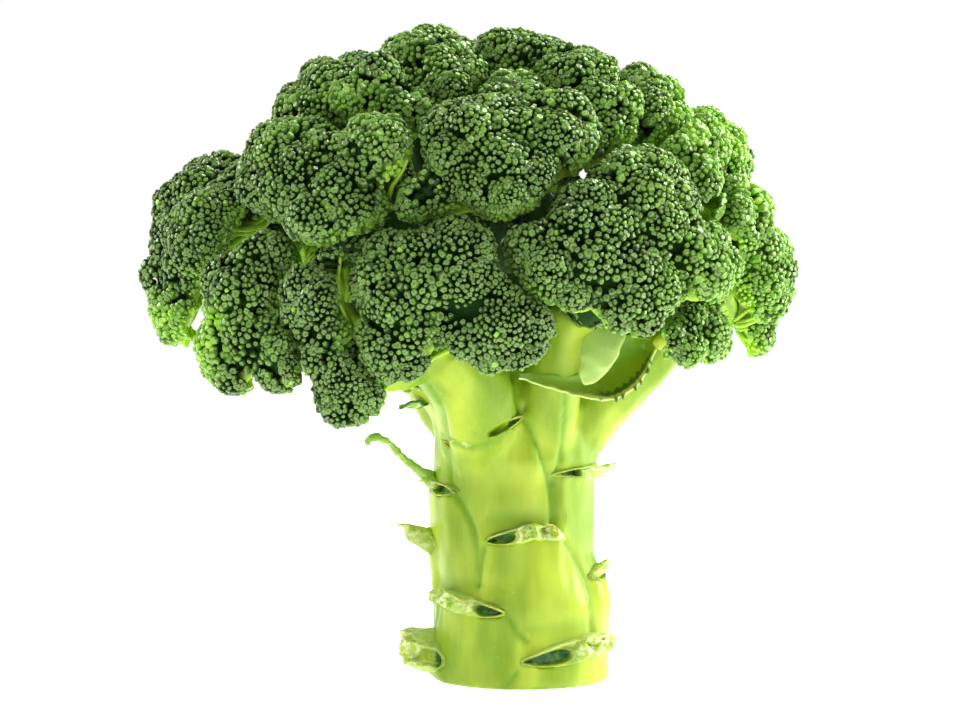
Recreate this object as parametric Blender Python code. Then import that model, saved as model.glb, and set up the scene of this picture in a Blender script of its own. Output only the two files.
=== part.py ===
"""Broccoli head standing on its cut stalk.

The frame: +Z is up, -Y is the front and the origin is the middle of the flat cut face that the
head stands on. Lengths below are in millimetres and become metres where a mesh is made.

The head is a thick stalk that forks into limbs and branches, a crown of florets, the stubs of the
leaves that were cut away round the stalk, and the few scraps of leaf that were left on it.
"""

import math

import bmesh
import bpy
import numpy as np
from mathutils import Matrix, Vector

MM = 0.001
GAP = 0.3  # clear space between two pieces that touch

# The crown: the florets' round lobes lie just inside this dome.
DOME_CENTRE = np.array([-13.0, 0.0, 100.0])
DOME_HALF_SIZE = np.array([83.0, 68.0, 66.0])
HUB = np.array([-4.0, 0.0, 66.0])  # where the limbs fan out, so florets face away from it
SPREAD = 1.27  # a lobe is this much wider than it is tall
UNDERSIDE = 0.40  # a lobe ends this share of its radius behind its middle
THINNEST = 0.15  # a wall is never nearer to a lobe's middle than this share of its radius
ROUNDING = 7.0  # how tightly a lobe turns in towards its neighbour: a higher power is sharper
LOBE_POINTS = 40  # a lobe's corners: this many and LOBE_POINTS_PER_MM for each mm of radius
LOBE_POINTS_PER_MM = 2.9
BACK_THINNING = 0.34  # share of a lobe's corners that crowd towards its front
BACK_POWER = 6  # how suddenly they thin out behind
GOLDEN_ANGLE = math.pi * (3 - math.sqrt(5))

FRONT, BACK = -1, 1

# Each floret's lobes: (x, z, radius), the first on the branch that carries it. The depth follows
# from the dome, and a fourth value is the share of that depth for a lobe that sits nearer to the
# middle. A share below 0 is on the far side.
FLORETS = {
    "floret_front_centre": (FRONT, [(-29, 101, 17), (-6, 94, 12.5), (-15, 107, 12.5), (-33, 89, 12)]),
    "floret_front_left": (FRONT, [(-41, 81, 11.5), (-46, 89, 10.5), (-50, 99.5, 9.5), (-45, 108, 8.5, 0.9)]),
    "floret_left_low": (FRONT, [(-68.5, 87, 11), (-65, 98, 13), (-57, 84, 8.5), (-60, 107, 9, 0.85)]),
    "floret_far_left": (FRONT, [(-84, 104, 11.3), (-78, 117, 15.2), (-77, 113, 12), (-66, 121, 12, 0.4),
                                (-68, 120, 12, -0.55), (-84, 95, 9, 1.0)]),
    "floret_left_mid": (FRONT, [(-54, 127, 16), (-35, 132, 12), (-46.5, 117.5, 12.5), (-37, 119, 9, 0.85)]),
    "floret_top_left": (FRONT, [(-46.5, 142.5, 14.5), (-39, 145, 13), (-30, 141, 11, 0.7),
                                (-44, 140, 11, -0.4)]),
    "floret_top_mid_left": (FRONT, [(-17, 146, 12.5, 0.6), (-23, 151, 14)]),
    "floret_top": (FRONT, [(-2, 151.5, 14), (14, 148, 12.5), (20, 140, 12, 0.8), (16, 132, 8.5, 0.7)]),
    "floret_centre": (FRONT, [(-4, 124, 13.5), (5, 134, 15), (-14, 133, 14), (-4, 143, 12, 0.65),
                              (-25, 121, 10, 0.85)]),
    "floret_top_right": (FRONT, [(32, 137, 12, 0.75), (27.5, 142, 13.5), (33, 136, 11, -0.45)]),
    "floret_right_centre": (FRONT, [(24, 103, 13.5), (26, 120, 17), (6, 108, 14), (40, 107, 12),
                                    (13, 116, 12), (-1, 113, 9, 0.92)]),
    "floret_right_top": (FRONT, [(45, 132, 12.5), (39, 130, 12, 0.85), (49, 119, 12, -0.9),
                                 (43, 122, 9, 0.85)]),
    "floret_far_right": (FRONT, [(54, 105, 14.2), (51, 118, 10.5), (57, 91, 8, 0.3), (53, 110, 11, -0.6)]),
    "floret_right_low": (FRONT, [(42.5, 91, 8.5, 0.75), (39, 87, 6, 0.82)]),
    "floret_back_centre": (BACK, [(-22, 102, 17), (-3, 95, 13.5), (-36, 90, 12.5), (-8, 112, 13)]),
    "floret_back_left": (BACK, [(-52, 90, 13.5), (-45, 105, 13)]),
    "floret_back_left_low": (BACK, [(-71, 95, 12), (-68, 108, 12), (-60, 107, 10, 0.6)]),
    "floret_back_left_mid": (BACK, [(-60, 124, 15), (-46, 121, 12.5), (-31, 119, 13), (-56, 133, 12, 0.5)]),
    "floret_back_upper_left": (BACK, [(-36, 138, 14), (-20, 132, 13)]),
    "floret_back_top_left": (BACK, [(-30, 149, 12), (-38, 146, 10, 0.6)]),
    "floret_back_top": (BACK, [(-8, 147, 14), (8, 146, 13)]),
    "floret_back_upper_right": (BACK, [(2, 129, 15), (20, 135, 13)]),
    "floret_back_right_mid": (BACK, [(30, 121, 15), (14, 110, 14), (38, 129, 11.5, 0.75),
                                     (16, 126, 9, 0.7)]),
    "floret_back_right": (BACK, [(22, 95, 13.5), (38, 103, 13)]),
    "floret_back_right_low": (BACK, [(49, 98, 10), (46, 112, 11), (42, 88, 8), (51, 105, 12, 0.7)]),
}

# The stalk's outline: (height, left edge, right edge).
STALK_OUTLINE = [
    (0, -22.4, 22.0), (6, -22.0, 21.8), (20, -22.0, 21.8), (31, -21.8, 18.8), (42, -22.5, 17.1),
    (51, -22.6, 16.8), (56, -22.3, 19.8), (70, -21.5, 17.5), (82, -18.0, 14.0), (95, -14.0, 8.0),
]
STALK_SIDES = 28

# Each limb: (x, y, z, radius) from inside the stalk to its fork.
LIMBS = {
    "front": [(-6, -2, 48, 9), (-10, -12, 62, 10.5), (-12, -22, 74, 10.5), (-21, -30, 85, 9)],
    "middle": [(4, -2, 48, 8), (5.5, -12, 64, 8.5), (8, -17, 79, 7.5), (14, -22, 94, 7)],
    "right": [(5, 0, 46, 6.5), (12, -3, 60, 8), (20, -4, 70.5, 8), (29, -5, 80, 7.8), (40, -6, 91, 7)],
    "left": [(-10, 0, 50, 8), (-14, -2, 64, 8.5), (-20, -4, 76, 8), (-44, -6, 90, 7)],
    "upper_left": [(-4, 0, 70, 9), (-12, -1, 84, 9), (-26, -2, 104, 7.5)],
    "top": [(-2, 0, 70, 9), (-3, 0, 90, 9), (-4, 0, 110, 8)],
    "upper_right": [(0, 0, 70, 8), (8, 0, 86, 8), (18, 0, 104, 7)],
    "back": [(-4, 2, 50, 9), (-9, 11, 65, 10), (-15, 20, 80, 8.5)],
    "back_right": [(4, 2, 50, 8), (9, 11, 65, 9), (17, 19, 82, 7.5)],
    "back_left": [(-8, 2, 50, 8), (-16, 9, 66, 8.5), (-30, 18, 84, 7.5)],
}
LIMB_SIDES = 10
BRANCH_SIDES = 6
TUBE_STEPS = 2  # rings between two points of a limb

# A branch: its thickness at the fork and past it as shares of the limb's, its most as a share of
# its floret's radius, how far back it bends, and its straight end in millimetres.
FORK_SHARE, BRANCH_SHARE, FLORET_SHARE = 0.85, 0.8, 0.32
BEND_SHARE = 0.35
STRAIGHT_END = 2.0

# The limb that carries each floret.
CARRIED_BY = {
    "front": ["front_centre", "front_left"],
    "middle": ["right_centre"],
    "right": ["far_right", "right_low", "right_top"],
    "left": ["left_low", "far_left"],
    "upper_left": ["left_mid", "top_left", "back_left_mid"],
    "top": ["top_mid_left", "centre", "back_top_left", "back_upper_left"],
    "upper_right": ["top", "top_right", "back_top", "back_upper_right"],
    "back": ["back_centre"],
    "back_right": ["back_right", "back_right_mid", "back_right_low"],
    "back_left": ["back_left", "back_left_low"],
}

# Leaf stubs: (start angle, end angle, lower edge, upper edge, how far it stands out, lift of its
# tip). Angles are in degrees round the stalk from the front towards +X.
LEAF_STUBS = {
    "leaf_stub_base_right": (-2, 82, 5, 13, 2.4, 0.5),
    "leaf_stub_base_left": (-104, -56, 2, 13, 10.0, 2.5),
    "leaf_stub_low_left": (-78, -10, 17, 23.5, 2.8, 0.5),
    "leaf_stub_right": (58, 92, 25, 30, 3.2, 0.5),
    "leaf_stub_spur_left": (-100, -74, 32, 37, 9.0, 3.0),
    "leaf_stub_centre": (-20, 38, 35, 40.5, 2.8, 0.4),
    "leaf_stub_upper_left": (-92, -40, 46.5, 50.5, 3.2, 0.8),
    "leaf_stub_upper_right": (28, 96, 51.5, 54.5, 4.5, 0.8),
    "leaf_stub_back_low": (150, 205, 8, 14, 2.8, 0.5),
    "leaf_stub_back_left": (196, 240, 26, 32, 4.0, 1.0),
    "leaf_stub_back_right": (112, 160, 37, 42.5, 3.0, 0.5),
    "leaf_stub_back_upper": (172, 226, 48, 52, 3.0, 0.6),
}
STUB_STAND_OFF = 0.55  # clear of the stalk's skin between the corners of its sections
STUB_ROOT = 0.5  # least thickness, at a stub's ends
STUB_SAG = 0.45  # share of a stub's height that its lower edge rises towards its ends
STUB_ENDS = 0.08  # share of its length, at each end, that keeps one section
STUB_CELL = 7  # degrees to a cell

# The curled leaf: (x, y, z, radius of its trough).
LEAF_ROUTE = [
    (-1, -27, 78.5, 1.6), (9, -27.5, 77.5, 2.6), (19, -25, 77.5, 4.2), (28, -21, 79, 4.6),
    (31.5, -18, 82, 2.4),
]
LEAF_THICK = 1.0

# Small leaves on the left side: base, tip and width.
LEAF_SCRAPS = {
    "leaf_scrap_upper": ((-30.4, -10, 74.8), (-35.0, -14, 75.5), 4.5),
    "leaf_scrap_lower": ((-25.2, -5, 69.6), (-31.0, -8, 68.6), 6.0),
}
RIB_ROUTE = [
    (-24.2, -3, 52.5, 1.3), (-28.5, -4, 55, 1.1), (-33, -5, 60, 0.9), (-37, -6, 61.2, 1.2),
    (-39, -6, 59.8, 1.0),
]

COLOURS = {
    "stalk": (0.42, 0.60, 0.09),
    "floret": (0.045, 0.125, 0.03),
    "leaf_stub": (0.50, 0.66, 0.16),
    "leaf": (0.12, 0.27, 0.03),
}


def collection(name):
    made = bpy.data.collections.new(name)
    bpy.context.scene.collection.children.link(made)
    return made


def clear_scene():
    for old in list(bpy.data.objects):
        bpy.data.objects.remove(old)


def finish(name, kind, roughness):
    """A material of the piece's own."""
    made = bpy.data.materials.new(name)
    made.use_nodes = True
    shader = made.node_tree.nodes["Principled BSDF"]
    shader.inputs["Base Color"].default_value = (*COLOURS[kind], 1)
    shader.inputs["Roughness"].default_value = roughness
    shader.inputs["Metallic"].default_value = 0
    return made


def mesh_object(bm, name, into):
    """An object in the given collection from a bmesh in millimetres."""
    bmesh.ops.scale(bm, vec=(MM, MM, MM), verts=bm.verts)
    mesh = bpy.data.meshes.new(name)
    bm.to_mesh(mesh)
    bm.free()
    mesh.shade_smooth()
    made = bpy.data.objects.new(name, mesh)
    into.objects.link(made)
    return made


def helper(made):
    """Marks an operand of a Boolean as no piece of its own."""
    made.hide_render = True
    made.display_type = "WIRE"
    return made


# ---------------------------------------------------------------- florets


def lobe_middle(side, x, z, radius, share=1.0):
    """A lobe touches the dome from inside: its middle is on the dome shrunk by its radius, or
    at a share of that depth."""
    half = DOME_HALF_SIZE - radius
    across = (x - DOME_CENTRE[0]) / half[0]
    up = (z - DOME_CENTRE[2]) / half[2]
    depth = half[1] * math.sqrt(max(0.0, 1 - across**2 - up**2))
    return np.array([x, DOME_CENTRE[1] + side * depth * share, z], float)


def all_lobes():
    """(floret, middle, radius) of each lobe of the crown."""
    return [
        (name, lobe_middle(side, *one), one[2])
        for name, (side, lobes) in FLORETS.items()
        for one in lobes
    ]


def lobe_axis(middle):
    return (middle - HUB) / np.linalg.norm(middle - HUB)


def wall_distance(middle, radius, other, other_radius):
    """How far from a lobe's middle its flat wall against another lobe is: where a point is as
    deep inside the one sphere as inside the other."""
    apart = np.linalg.norm(other - middle)
    return (apart**2 + radius**2 - other_radius**2) / (2 * apart)


def lobe_reach(directions, name, middle, radius, lobes):
    """How far the lobe reaches each way: a broad dome, its underside and the walls against its
    neighbours, joined as the inverse p-norm, which rounds where they meet and passes none."""
    along = directions @ lobe_axis(middle)
    dome = radius / np.sqrt(along**2 + (1 - along**2) / SPREAD**2)
    total = dome**-ROUNDING
    behind = np.maximum(-along, 1e-6)
    total += (UNDERSIDE * radius / behind) ** -ROUNDING
    for other_name, other, other_radius in lobes:
        apart = np.linalg.norm(other - middle)
        if other_name == name or apart > 2 * (radius + other_radius):
            continue
        wall = wall_distance(middle, radius, other, other_radius) - GAP / 2
        towards = np.maximum(directions @ ((other - middle) / apart), 1e-6)
        total += (max(wall, THINNEST * radius) / towards) ** -ROUNDING
    return total ** (-1 / ROUNDING)


def spiral_directions(count, axis):
    """Directions on a golden spiral round the axis, spread more thinly towards its back."""
    share = (np.arange(count) + 0.5) / count
    along = 1 - 2 * ((1 - BACK_THINNING) * share + BACK_THINNING * share**BACK_POWER)
    turn = GOLDEN_ANGLE * np.arange(count)
    across = np.sqrt(1 - along**2)
    local = np.column_stack([across * np.cos(turn), across * np.sin(turn), along])
    turned = Vector(axis).to_track_quat("Z", "Y").to_matrix()
    return local @ np.array(turned).T


def lobe(name, floret, middle, radius, lobes, into):
    """The hull of a unit sphere's points, with each point then moved to the lobe's reach."""
    bm = bmesh.new()
    count = round(LOBE_POINTS + LOBE_POINTS_PER_MM * radius)
    directions = spiral_directions(count, lobe_axis(middle))
    for direction in directions:
        bm.verts.new(direction)
    bmesh.ops.convex_hull(bm, input=bm.verts)
    reach = lobe_reach(directions, floret, middle, radius, lobes)
    for vert, place in zip(bm.verts, middle + directions * reach[:, None]):
        vert.co = place
    return mesh_object(bm, name, into)


def florets(pieces, helpers):
    """Each floret is its first lobe with the others joined to it."""
    lobes = all_lobes()
    for name in FLORETS:
        own = [one for one in lobes if one[0] == name]
        body = lobe(name, name, own[0][1], own[0][2], lobes, pieces)
        for _, middle, radius in own[1:]:
            joined = helper(lobe(name + "_lobe", name, middle, radius, lobes, helpers))
            union = body.modifiers.new("join_lobe", "BOOLEAN")
            union.operation = "UNION"
            union.object = joined
        body.data.materials.append(finish(name, "floret", 0.6))


# ---------------------------------------------------------------- stalk


def tube(name, points, sides, into):
    """A closed tube through (x, y, z, radius) points, as a mesh."""
    data = bpy.data.curves.new(name, "CURVE")
    data.dimensions = "3D"
    data.bevel_depth = MM
    data.bevel_resolution = (sides - 4) // 2
    data.use_fill_caps = True
    spline = data.splines.new("POLY")
    spline.points.add(len(points) - 1)
    for point, (x, y, z, radius) in zip(spline.points, points):
        point.co = (x * MM, y * MM, z * MM, 1)
        point.radius = radius
    curve = bpy.data.objects.new(name, data)
    into.objects.link(curve)
    graph = bpy.context.evaluated_depsgraph_get()
    mesh = bpy.data.meshes.new_from_object(curve.evaluated_get(graph))
    bpy.data.objects.remove(curve)
    bm = bmesh.new()
    bm.from_mesh(mesh)
    bpy.data.meshes.remove(mesh)
    bmesh.ops.remove_doubles(bm, verts=bm.verts, dist=1e-6)
    bmesh.ops.recalc_face_normals(bm, faces=bm.faces)
    bmesh.ops.scale(bm, vec=(1 / MM, 1 / MM, 1 / MM), verts=bm.verts)
    return mesh_object(bm, name, into)


def smooth_path(points, steps):
    """Points on a Catmull-Rom curve through the given ones, ends kept."""
    given = np.array(points, float)
    ends = np.vstack([2 * given[0] - given[1], given, 2 * given[-1] - given[-2]])
    path = []
    for i in range(1, len(given)):
        a, b, c, d = ends[i - 1 : i + 3]
        for t in np.arange(steps) / steps:
            path.append(
                0.5 * (2 * b + (c - a) * t + (2 * a - 5 * b + 4 * c - d) * t**2
                       + (3 * b - a - 3 * c + d) * t**3)
            )
    return np.array(path + [given[-1]])


def stalk_section(height):
    """The stalk's middle in x, and its radius, at a height."""
    heights, left, right = np.array(STALK_OUTLINE, float).T
    x0, x1 = np.interp(height, heights, left), np.interp(height, heights, right)
    return (x0 + x1) / 2, (x1 - x0) / 2


def trunk(into):
    """A cylinder cut level at each height of the outline, each ring then moved to its section."""
    top = STALK_OUTLINE[-1][0]
    bm = bmesh.new()
    lift = Matrix.Translation((0, 0, top / 2))
    bmesh.ops.create_cone(
        bm, cap_ends=True, segments=STALK_SIDES, radius1=1, radius2=1, depth=top, matrix=lift
    )
    for height, _, _ in STALK_OUTLINE[1:-1]:
        cut = bm.verts[:] + bm.edges[:] + bm.faces[:]
        bmesh.ops.bisect_plane(bm, geom=cut, plane_co=(0, 0, height), plane_no=(0, 0, 1))
    for vert in bm.verts:
        middle, radius = stalk_section(vert.co.z)
        vert.co.x = middle + radius * vert.co.x
        vert.co.y *= radius
    return mesh_object(bm, "stalk", into)


def branch_points(fork, middle, radius):
    """From the limb's fork to just under a floret, ending square to its underside."""
    axis = lobe_axis(middle)
    end = middle - axis * (UNDERSIDE * radius + GAP)
    start = np.array(fork[:3], float)
    bend = end - axis * BEND_SHARE * np.linalg.norm(end - start)
    thick = min(fork[3] * BRANCH_SHARE, radius * FLORET_SHARE)
    path = smooth_path([(*start, fork[3] * FORK_SHARE), (*bend, thick), (*end, thick)], TUBE_STEPS)
    # The last stretch lies along the axis, so the end face is parallel to the underside.
    path[-2, :3] = end - axis * STRAIGHT_END
    return path


def stalk(pieces, helpers):
    """The trunk with its limbs and branches joined to it."""
    body = trunk(pieces)
    first_lobe = {}
    for name, middle, radius in all_lobes():
        first_lobe.setdefault(name, (middle, radius))
    for limb, points in LIMBS.items():
        tube("limb_" + limb, smooth_path(points, TUBE_STEPS), LIMB_SIDES, helpers)
        for floret in CARRIED_BY[limb]:
            middle, radius = first_lobe["floret_" + floret]
            route = branch_points(points[-1], middle, radius)
            tube("branch_" + floret, route, BRANCH_SIDES, helpers)
    for joined in helpers.objects:
        helper(joined)
    union = body.modifiers.new("join_limbs", "BOOLEAN")
    union.operation = "UNION"
    union.operand_type = "COLLECTION"
    union.collection = helpers
    body.data.materials.append(finish("stalk", "stalk", 0.35))


# ---------------------------------------------------------------- leaves


def bent_block(name, cells, place, kind, roughness, into, across=1):
    """A cube cut into cells along its first axis, and across its second, then bent: place maps
    (u, v, w), each from 0 to 1, to millimetres."""
    bm = bmesh.new()
    bmesh.ops.create_cube(bm, size=1)
    for count, axis in ((cells, Vector((1, 0, 0))), (across, Vector((0, 1, 0)))):
        for k in range(1, count):
            cut = bm.verts[:] + bm.edges[:] + bm.faces[:]
            bmesh.ops.bisect_plane(bm, geom=cut, plane_co=axis * (k / count - 0.5), plane_no=axis)
    for vert in bm.verts:
        u, v, w = vert.co + Vector((0.5, 0.5, 0.5))
        vert.co = place(u, v, w)
    made = mesh_object(bm, name, into)
    made.data.materials.append(finish(name, kind, roughness))
    return made


def on_stalk(angle, height, out):
    """A point that stands out from the stalk's skin, its angle measured from the front."""
    middle, radius = stalk_section(height)
    turn = math.radians(angle)
    reach = radius + out
    return (middle + reach * math.sin(turn), -reach * math.cos(turn), height)


def leaf_stubs(pieces):
    """Crescents round the stalk, thickest in the middle, with a sagging lower edge."""
    for name, (start, end, low, high, out, lift) in LEAF_STUBS.items():
        def place(u, v, w, start=start, end=end, low=low, high=high, out=out, lift=lift):
            swell = math.sin(math.pi * min(max(u, STUB_ENDS), 1 - STUB_ENDS))
            bottom = low + (high - low) * STUB_SAG * (1 - swell)
            height = bottom + (high - bottom) * v
            angle = start + (end - start) * u
            thick = STUB_ROOT + out * swell * (1 + v) / 2
            x, y, _ = on_stalk(angle, height, STUB_STAND_OFF + w * thick)
            return (x, y, height + w * lift)

        bent_block(name, max(5, int((end - start) / STUB_CELL)), place, "leaf_stub", 0.4, pieces)


def curled_leaf(pieces):
    """A small leaf rolled into a trough that hangs across the front of the limbs."""
    route = smooth_path(LEAF_ROUTE, 4)

    def place(u, v, w):
        t = u * (len(route) - 1)
        middle = route[int(t)] + (route[min(int(t) + 1, len(route) - 1)] - route[int(t)]) * (t % 1)
        turn = math.radians(115 - 150 * v)
        radius = middle[3] + w * LEAF_THICK
        return (middle[0], middle[1] - radius * math.cos(turn), middle[2] - radius * math.sin(turn))

    bent_block("curled_leaf", len(route) - 1, place, "leaf", 0.45, pieces, across=5)


def leaf_scraps(pieces):
    """Small leaves left on the left side: flat tongues, bent down towards the tip."""
    for name, (base, tip, width) in LEAF_SCRAPS.items():
        base, tip = Vector(base), Vector(tip)
        side = (tip - base).cross(Vector((0, 0, 1))).normalized()

        def place(u, v, w, base=base, tip=tip, side=side, width=width):
            spread = width * (0.35 + 0.65 * math.sin(math.pi * min(u + 0.1, 0.9)))
            droop = Vector((0, 0, 1)) * (1.2 * math.sin(math.pi * u) - w * LEAF_THICK)
            return base.lerp(tip, u) + side * spread * (v - 0.5) + droop

        bent_block(name, 5, place, "leaf", 0.45, pieces)


def stripped_rib(pieces):
    """The midrib of a torn leaf, a thin stalk that ends in a curled shred."""
    made = tube("stripped_leaf_rib", smooth_path(RIB_ROUTE, 3), 8, pieces)
    made.data.materials.append(finish("stripped_leaf_rib", "leaf_stub", 0.4))


def main():
    clear_scene()
    pieces = collection("broccoli_head")
    florets(pieces, collection("floret_lobes"))
    stalk(pieces, collection("limbs_and_branches"))
    leaf_stubs(pieces)
    curled_leaf(pieces)
    leaf_scraps(pieces)
    stripped_rib(pieces)


if __name__ == "__main__":
    main()
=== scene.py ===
"""Broccoli head: grows the buds, flesh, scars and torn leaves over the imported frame, and sets the studio."""

import bmesh
import bpy
import numpy as np
from bpy.props import FloatProperty, FloatVectorProperty, IntProperty, PointerProperty
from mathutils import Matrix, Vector
from mathutils.kdtree import KDTree


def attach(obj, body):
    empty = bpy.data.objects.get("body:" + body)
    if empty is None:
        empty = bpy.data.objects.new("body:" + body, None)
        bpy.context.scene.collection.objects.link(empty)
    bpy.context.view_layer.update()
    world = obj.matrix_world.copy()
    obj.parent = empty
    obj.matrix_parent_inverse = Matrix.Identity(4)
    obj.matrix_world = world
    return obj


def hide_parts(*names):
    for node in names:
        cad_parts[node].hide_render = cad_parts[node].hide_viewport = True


bl_info = {
    "name": "Broccoli head",
    "version": (1, 0, 0),
    "blender": (4, 5, 0),
    "location": "3D View > Sidebar > Broccoli",
    "description": "Grows a broccoli head's buds, stalk and cut leaves over its packed frame",
    "category": "Add Mesh",
}

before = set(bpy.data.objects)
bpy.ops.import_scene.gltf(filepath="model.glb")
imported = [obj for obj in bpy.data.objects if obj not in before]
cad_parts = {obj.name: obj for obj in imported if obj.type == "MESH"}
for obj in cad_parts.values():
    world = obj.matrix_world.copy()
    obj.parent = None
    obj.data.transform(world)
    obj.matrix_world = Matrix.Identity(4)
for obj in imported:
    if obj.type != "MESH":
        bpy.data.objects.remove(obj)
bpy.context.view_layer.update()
BODY = "root"
NODES = sorted(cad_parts)
FLORETS = [name for name in NODES if name.startswith("floret_")]
STUBS = [name for name in NODES if name.startswith("leaf_stub_")]
MM = 0.001
GOLDEN_ANGLE = np.pi * (3 - 5**0.5)
BUD_MAP = "OFBake"
TINTS = 32
SEED = 11
FAR = 1.0  # in metres, further than anything on the head
SAME_POINT = 1e-6
CREASE_ANGLE = np.radians(38)


# ---- settings


def length(name, description, default):
    """A length to set, its default in millimetres."""
    return FloatProperty(name=name, description=description, default=default * MM, unit="LENGTH")


def spot(name, description, *default):
    """A place to set, its default in millimetres."""
    default = [value * MM for value in default]
    return FloatVectorProperty(name=name, description=description, default=default, subtype="XYZ")


def colour(name, description, *default):
    """A colour to set, its default in linear red, green and blue."""
    default = (*default, 1)
    return FloatVectorProperty(name=name, description=description, default=default, size=4, subtype="COLOR")


# ---- shapes


def unit(vectors):
    """Each vector over its length."""
    return vectors / np.maximum(np.linalg.norm(vectors, axis=-1, keepdims=True), 1e-12)


def dot(a, b):
    """The dot product along the last axis."""
    return (a * b).sum(-1)


def bell(value, width):
    """exp of minus the square of value over width."""
    return np.exp(-((value / width) ** 2))


def turned(angle):
    """The angle brought to between minus pi and pi."""
    return (angle + np.pi) % (2 * np.pi) - np.pi


def points_of(mesh):
    """The mesh's points, (n, 3)."""
    points = np.empty(len(mesh.vertices) * 3)
    mesh.vertices.foreach_get("co", points)
    return points.reshape(-1, 3)


def smooth_step(low, high, value):
    """0 below low, 1 above high, and 3t^2 - 2t^3 between."""
    t = np.clip((value - low) / (high - low), 0, 1)
    return t * t * (3 - 2 * t)


def plateau(low, high, end, gone, value):
    """Rises smoothly from 0 at low to 1 at high, and falls again from end to gone."""
    return smooth_step(low, high, value) * (1 - smooth_step(end, gone, value))


def ripple(points, size, seed, waves=12):
    """Smooth noise of about -1 to 1: a sum of sines along random directions, each about size long."""
    rng = np.random.default_rng(seed)
    directions = unit(rng.normal(size=(waves, 3))) * rng.uniform(0.7, 1.4, (waves, 1))
    phases = rng.uniform(0, 2 * np.pi, waves)
    return np.sin(points @ directions.T * (2 * np.pi / size) + phases).sum(-1) / waves**0.5


def curve_through(points, count):
    """count rows evenly spread by length along a Catmull-Rom curve through the points, of any width."""
    points = np.asarray(points, float)
    ends = np.vstack([2 * points[0] - points[1], points, 2 * points[-1] - points[-2]])
    step = np.linspace(0, len(points) - 1, count * 8)
    left = np.minimum(step.astype(int), len(points) - 2)
    t = (step - left)[:, None]
    a, b, c, d = (ends[left + i] for i in range(4))
    fine = 0.5 * (2 * b + (c - a) * t + (2 * a - 5 * b + 4 * c - d) * t**2 + (3 * b - a - 3 * c + d) * t**3)
    length = np.r_[0, np.cumsum(np.linalg.norm(np.diff(fine[:, :3], axis=0), axis=1))]
    even = np.linspace(0, length[-1], count)
    return np.stack([np.interp(even, length, column) for column in fine.T], 1)


class Skin:
    """Points, blocks of faces that have three or four corners, and each corner's place on the map."""

    def __init__(self, points, faces, places=None):
        self.points = points
        self.faces = faces
        self.places = places or [np.zeros(block.shape + (2,)) for block in faces]


def joined(skins):
    """One skin holding all of them."""
    shifts = np.cumsum([0] + [len(skin.points) for skin in skins])
    faces = [block + shift for skin, shift in zip(skins, shifts) for block in skin.faces]
    return Skin(np.concatenate([skin.points for skin in skins]), faces, sum((s.places for s in skins), []))


def lofted(rings, start, end, levels=None):
    """Skins rows of rings, shaped (rows, rings, corners, 3), and closes each row by a fan to start and one to
    end. A corner's place is its share of the way round and its ring's level, from 0 at start to 1 at end."""
    rows, count, corners, _ = rings.shape
    if levels is None:
        levels = np.linspace(0, 1, count + 2)
    points = np.concatenate([rings.reshape(rows, count * corners, 3), start[:, None], end[:, None]], 1)
    ring, corner = (grid.ravel() for grid in np.mgrid[: count - 1, :corners])
    here, there = ring * corners + corner, ring * corners + (corner + 1) % corners
    quads = np.stack([here, there, there + corners, here + corners], -1)
    low, high = levels[1 + ring], levels[2 + ring]
    around = np.stack([corner, corner + 1, corner + 1, corner], -1) / corners
    quad_places = np.stack([around, np.stack([low, low, high, high], -1)], -1)
    first = np.arange(corners)
    second = (first + 1) % corners
    last = (count - 1) * corners
    pole = np.full(corners, count * corners)
    first_fan, last_fan = [second, first, pole], [last + first, last + second, pole + 1]
    fans = np.concatenate([np.stack(first_fan, -1), np.stack(last_fan, -1)])
    turn = np.stack([first + 1, first, first + 0.5], -1) / corners
    turn = np.concatenate([turn, np.stack([first, first + 1, first + 0.5], -1) / corners])
    height = np.repeat([[levels[1], levels[1], levels[0]], [levels[-2], levels[-2], levels[-1]]], corners, 0)
    fan_places = np.stack([turn, height], -1)
    shift = (np.arange(rows) * (count * corners + 2))[:, None, None]
    faces = [(quads + shift).reshape(-1, 4), (fans + shift).reshape(-1, 3)]
    places = [np.tile(quad_places, (rows, 1, 1)), np.tile(fan_places, (rows, 1, 1))]
    return Skin(points.reshape(-1, 3), faces, places)


def tubes(paths, radii, corners, side):
    """Circles of radii (rows, n) carried along paths (rows, n, 3), square to them, rounded off by a point
    past each end. side (rows, 3) is roughly where each circle's first corner points."""
    along = unit(np.gradient(paths, axis=1))
    across = unit(side[:, None] - dot(side[:, None], along)[..., None] * along)
    up = np.cross(along, across)
    angle = np.linspace(0, 2 * np.pi, corners, endpoint=False)[:, None]
    circle = np.cos(angle) * across[:, :, None] + np.sin(angle) * up[:, :, None]
    rings = paths[:, :, None] + radii[:, :, None, None] * circle
    start = paths[:, 0] - along[:, 0] * radii[:, :1] * 0.5
    end = paths[:, -1] + along[:, -1] * radii[:, -1:] * 0.5
    return lofted(rings, start, end)


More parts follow.
